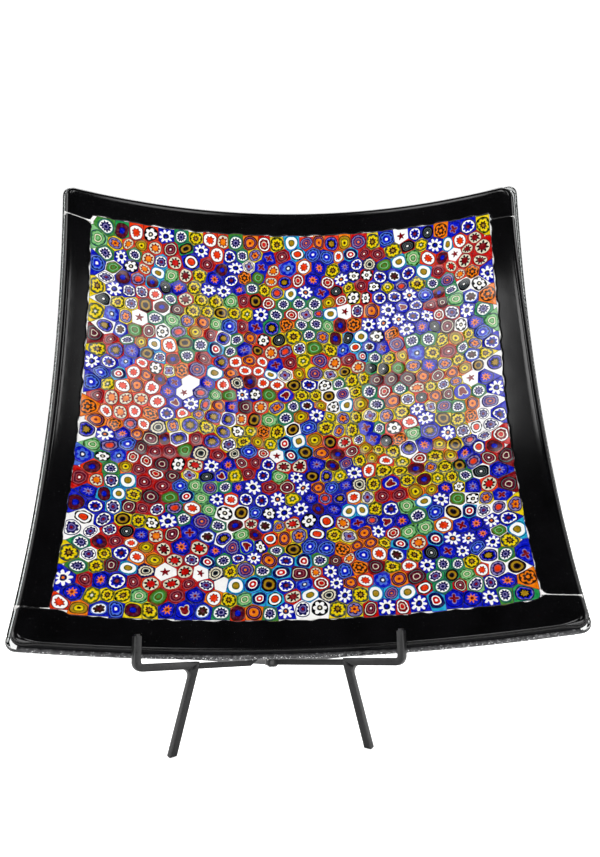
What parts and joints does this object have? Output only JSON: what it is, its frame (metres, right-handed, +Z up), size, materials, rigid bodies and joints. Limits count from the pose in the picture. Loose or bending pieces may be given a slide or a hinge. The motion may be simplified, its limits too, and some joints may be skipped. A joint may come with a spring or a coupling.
{
  "type": "fused glass bowl on easel",
  "caption": "Square shallow slumped bowl of fused murrine with a black glass border, leaning on a small folding square-bar metal easel.",
  "frame": {"origin": "centre of the footprint, at the surface that the easel stands on", "axes": "the bowl faces -Y and leans back toward +Y, +X is to the right seen from the front, +Z is up"},
  "size_m": [0.2498, 0.1497, 0.2696],
  "materials": {
    "clear_glass": "polished",
    "black_glass": "polished",
    "cobalt_daisy_cane": "polished",
    "red_bullseye_cane": "polished",
    "orange_sun_cane": "polished",
    "yellow_star_cane": "polished",
    "green_star_cane": "polished",
    "turquoise_ring_cane": "polished",
    "white_blossom_cane": "polished",
    "black_petal_cane": "polished",
    "navy_star_cane": "polished",
    "maroon_ring_cane": "polished",
    "white_red_star_cane": "polished",
    "heart_cane": "polished",
    "olive_oval_cane": "polished",
    "pale_green_flower_cane": "polished",
    "amber_eye_cane": "polished",
    "grey_ring_cane": "polished",
    "blue_cross_cane": "polished",
    "lilac_clover_cane": "polished",
    "purple_flower_cane": "polished",
    "light_blue_cane": "polished",
    "plain_white_cane": "polished",
    "black_powder_coat": "satin"
  },
  "bodies": {
    "easel_base": {"hook_bar_left": "black_powder_coat", "cross_rail_left": "black_powder_coat", "back_upright_right": "black_powder_coat", "pivot_rivet": "black_powder_coat"},
    "folding_frame": {"hook_bar_right": "black_powder_coat", "cross_rail_right": "black_powder_coat", "back_upright_left": "black_powder_coat"},
    "bowl": {"clear_base_sheet": "clear_glass", "border_strip_top": "black_glass", "border_strip_bottom": "black_glass", "border_strip_left": "black_glass", "border_strip_right": "black_glass", "murrine_cobalt_daisy": "cobalt_daisy_cane", "murrine_red_bullseye": "red_bullseye_cane", "murrine_orange_sun": "orange_sun_cane", "murrine_yellow_star": "yellow_star_cane", "murrine_green_star": "green_star_cane", "murrine_turquoise_ring": "turquoise_ring_cane", "murrine_white_blossom": "white_blossom_cane", "murrine_black_petal": "black_petal_cane", "murrine_navy_star": "navy_star_cane", "murrine_maroon_ring": "maroon_ring_cane", "murrine_white_red_star": "white_red_star_cane", "murrine_heart": "heart_cane", "murrine_olive_oval": "olive_oval_cane", "murrine_pale_green_flower": "pale_green_flower_cane", "murrine_amber_eye": "amber_eye_cane", "murrine_grey_ring": "grey_ring_cane", "murrine_blue_cross": "blue_cross_cane", "murrine_lilac_clover": "lilac_clover_cane", "murrine_purple_flower": "purple_flower_cane", "murrine_light_blue": "light_blue_cane", "murrine_plain_white": "plain_white_cane"}
  },
  "joints": [
    {"name": "easel_fold", "type": "hinge", "parent": "easel_base", "child": "folding_frame", "pos_m": [-0.014, -0.02975, 0.0264], "axis": [0, -0.2504, -0.9681], "range_deg": [0, 30]},
    {"name": "bowl_lift_off", "type": "slide", "parent": "easel_base", "child": "bowl", "axis": [0, 0.4226, 0.9063], "range_m": [0, 0.16]}
  ]
}
